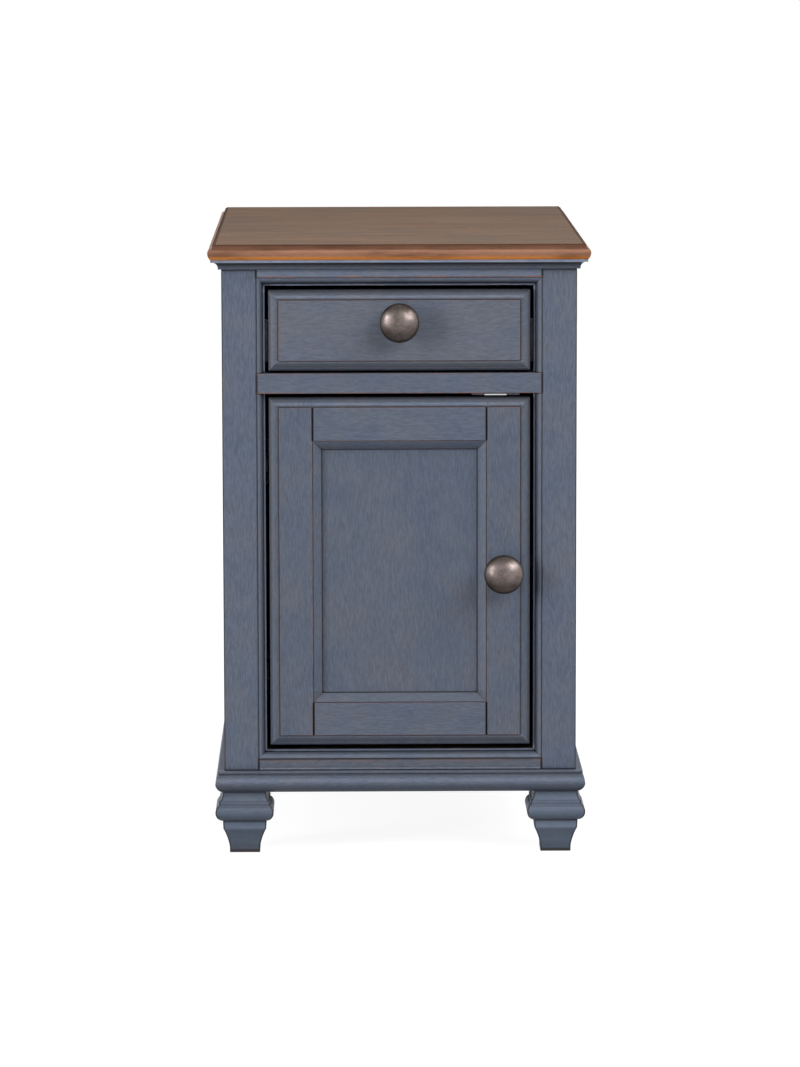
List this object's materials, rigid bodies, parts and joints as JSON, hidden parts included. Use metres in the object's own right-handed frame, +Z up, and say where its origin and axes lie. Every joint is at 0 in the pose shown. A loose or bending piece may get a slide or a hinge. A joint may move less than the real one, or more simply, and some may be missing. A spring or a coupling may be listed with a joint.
{
  "type": "chairside table",
  "caption": "Narrow chairside table with a stepped bullnose top, a drawer over a framed door, a moulded base and square moulded feet.",
  "frame": {"origin": "centre of the bounding box's footprint, on the floor", "axes": "+X to the right seen from the front, -Y out of the front, +Z up"},
  "size_m": [0.4, 0.624, 0.648],
  "materials": {
    "blue_paint": "satin",
    "stained_top": "satin",
    "inner_wood": "satin",
    "inner_board": "satin",
    "aged_metal": "satin",
    "steel": "satin",
    "glide_plastic": "matte",
    "catch_plastic": "satin"
  },
  "bodies": {
    "carcass": {"crown_moulding": "blue_paint", "post_front_left": "blue_paint", "post_front_right": "blue_paint", "rear_posts": "blue_paint", "top_rail": "blue_paint", "divider_rail": "blue_paint", "bottom_rail": "blue_paint", "side_panels": "blue_paint", "side_rails": "blue_paint", "frame_moulding_top": "blue_paint", "frame_moulding_sides": "blue_paint", "frame_moulding_bottom": "blue_paint", "base_moulding": "blue_paint", "foot_front_left": "blue_paint", "foot_front_right": "blue_paint", "foot_rear_left": "blue_paint", "foot_rear_right": "blue_paint", "top_panel": "stained_top", "top_edge_front": "stained_top", "top_edge_rear": "stained_top", "top_edge_sides": "stained_top", "rear_rails": "inner_wood", "corner_blocks": "inner_wood", "slide_mounting_rails": "inner_wood", "hinge_strip": "inner_wood", "back_panel": "inner_board", "cabinet_floor": "inner_board", "shelf": "inner_board", "foot_bolts": "steel", "shelf_pins": "steel", "slide_cabinet_members": "steel", "hinge_plates": "steel", "hinge_arms": "steel", "hinge_screws": "steel", "catch_magnet": "steel", "top_screws": "steel", "back_screws": "steel", "foot_glides": "glide_plastic", "catch_housing": "catch_plastic"},
    "drawer": {"drawer_front": "blue_paint", "drawer_sides": "inner_wood", "drawer_inner_front": "inner_wood", "drawer_back": "inner_wood", "drawer_bottom": "inner_board", "drawer_knob": "aged_metal", "drawer_screws": "steel", "slide_drawer_members": "steel"},
    "slide_middle_left": {"slide_middle_left": "steel"},
    "slide_middle_right": {"slide_middle_right": "steel"},
    "door": {"door_stile_left": "blue_paint", "door_stile_right": "blue_paint", "door_rail_top": "blue_paint", "door_rail_bottom": "blue_paint", "door_panel": "blue_paint", "door_moulding": "blue_paint", "door_knob": "aged_metal", "door_screws": "steel", "hinge_cups": "steel", "catch_strike": "steel"}
  },
  "joints": [
    {"name": "drawer_slide", "type": "slide", "parent": "carcass", "child": "drawer", "axis": [0, -1, 0], "range_m": [0, 0.45]},
    {"name": "left_middle_slide", "type": "slide", "parent": "carcass", "child": "slide_middle_left", "axis": [0, -1, 0], "range_m": [0, 0.225]},
    {"name": "right_middle_slide", "type": "slide", "parent": "carcass", "child": "slide_middle_right", "axis": [0, -1, 0], "range_m": [0, 0.225]},
    {"name": "door_hinge", "type": "hinge", "parent": "carcass", "child": "door", "pos_m": [-0.1223, -0.2714, 0.302], "axis": [0, 0, -1], "range_deg": [0, 100]}
  ],
  "couplings": [
    {"joint": "left_middle_slide", "follows": "drawer_slide", "ratio": 0.5},
    {"joint": "right_middle_slide", "follows": "drawer_slide", "ratio": 0.5}
  ]
}
